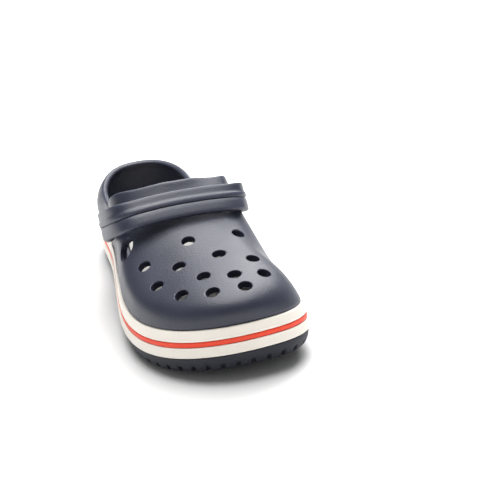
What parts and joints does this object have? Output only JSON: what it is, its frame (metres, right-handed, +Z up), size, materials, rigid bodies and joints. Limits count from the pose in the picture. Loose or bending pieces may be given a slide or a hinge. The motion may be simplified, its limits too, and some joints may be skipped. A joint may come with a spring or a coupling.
{
  "type": "garden clog",
  "caption": "Low foam clog for the right foot, with round vents in the vamp, an off-white midsole with a red line, a dark lugged outsole and a heel strap that swings on two rivets.",
  "frame": {"origin": "on the ground, at the middle of the clog's box in plan, with the strap parked forward over the instep", "axes": "+Z up, toe towards -Y, heel towards +Y, inner side of the foot towards +X"},
  "size_m": [0.1122, 0.2899, 0.0937],
  "materials": {
    "navy_foam": "matt moulded foam, very fine grain",
    "strap_foam": "matt moulded foam, slightly smoother than the shell",
    "insole_foam": "matt pale foam with small perforations",
    "white_foam": "smooth matt foam",
    "red_foam": "smooth matt foam",
    "tread_rubber": "matt moulded rubber",
    "rivet": "semi-gloss moulded plastic",
    "washer": "matt moulded plastic"
  },
  "bodies": {
    "clog": {"upper_shell": "navy_foam", "insole": "insole_foam", "midsole": "white_foam", "accent_stripe": "red_foam", "outsole": "tread_rubber", "rivet_head_lateral": "rivet", "rivet_head_medial": "rivet", "rivet_stem_lateral": "rivet", "rivet_stem_medial": "rivet", "strap_washer_lateral": "washer", "strap_washer_medial": "washer"},
    "strap": {"heel_strap": "strap_foam"}
  },
  "joints": [
    {"name": "strap_swing", "type": "hinge", "parent": "clog", "child": "strap", "pos_m": [0.0035, 0.047, 0.0465], "axis": [-1, 0, 0], "range_deg": [0, 134]}
  ]
}
